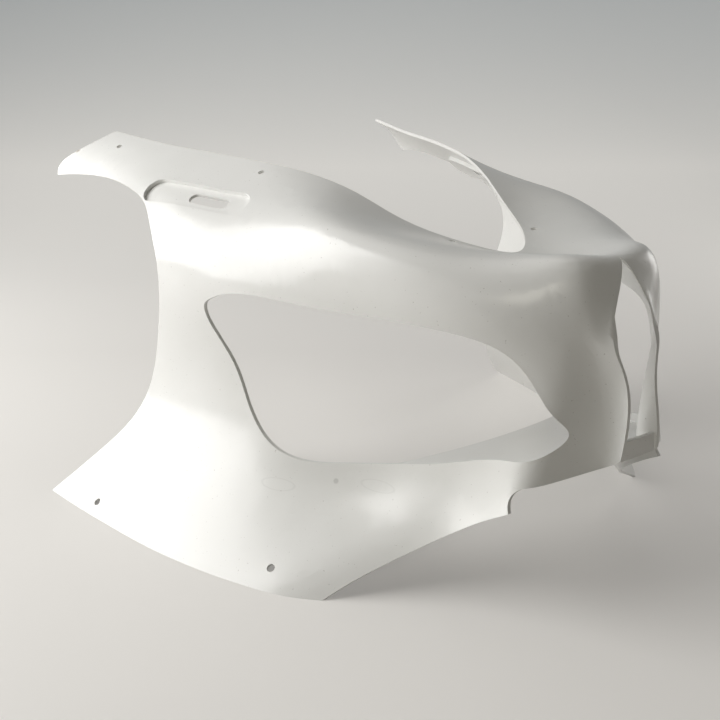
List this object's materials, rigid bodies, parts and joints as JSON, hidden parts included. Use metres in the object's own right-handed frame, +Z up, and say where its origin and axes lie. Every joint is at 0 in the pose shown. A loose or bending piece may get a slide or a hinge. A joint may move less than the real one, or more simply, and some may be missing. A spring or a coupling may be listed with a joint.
{
  "type": "motorcycle fairing",
  "caption": "Upper fairing shell for a motorcycle: thin moulded fibreglass nose with a screen opening, open side windows, a front slot, flared lower wings and fixing holes.",
  "frame": {"origin": "on the floor that the wing hems stand on, midway along the length, in the plane of symmetry", "axes": "+X forward towards the nose, +Y to the rider's left, +Z up"},
  "size_m": [0.5907, 0.6168, 0.337],
  "materials": {
    "gelcoat": "gloss white gelcoat over glass-fibre laminate"
  },
  "bodies": {
    "root": {"fairing_shell": "gelcoat"}
  },
  "joints": []
}
